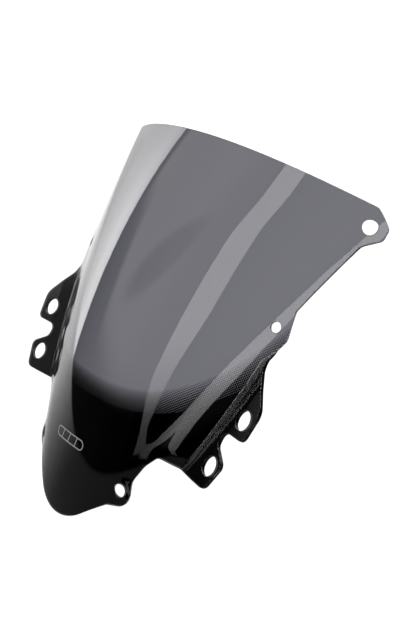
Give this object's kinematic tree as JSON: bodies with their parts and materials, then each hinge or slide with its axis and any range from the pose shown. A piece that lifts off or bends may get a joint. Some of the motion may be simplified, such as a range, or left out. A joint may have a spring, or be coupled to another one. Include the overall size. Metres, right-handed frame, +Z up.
{
  "type": "windshield screen",
  "caption": "Smoke tinted double-curved windshield screen for a motorcycle fairing, with mirror ears, nose tabs, black back print and a dot fade.",
  "frame": {"origin": "midway between the two upper mirror holes, at mid thickness of the sheet", "axes": "+X across the sheet, to the right for a viewer who faces its outer side; -Y forwards, where the nose points; +Z up; the sheet is symmetric about X = 0 and stands at its riding rake"},
  "size_m": [0.3586, 0.205, 0.3122],
  "materials": {
    "smoke_acrylic": "clear polished smoke tint",
    "black_ink": "opaque screen print seen through the polished sheet",
    "fade_ink": "screen print of dots that shrink upwards",
    "silver_ink": "thin light grey print"
  },
  "bodies": {
    "root": {"screen_sheet": "smoke_acrylic", "black_print": "black_ink", "halftone_fade": "fade_ink", "maker_emblem": "silver_ink"}
  },
  "joints": []
}
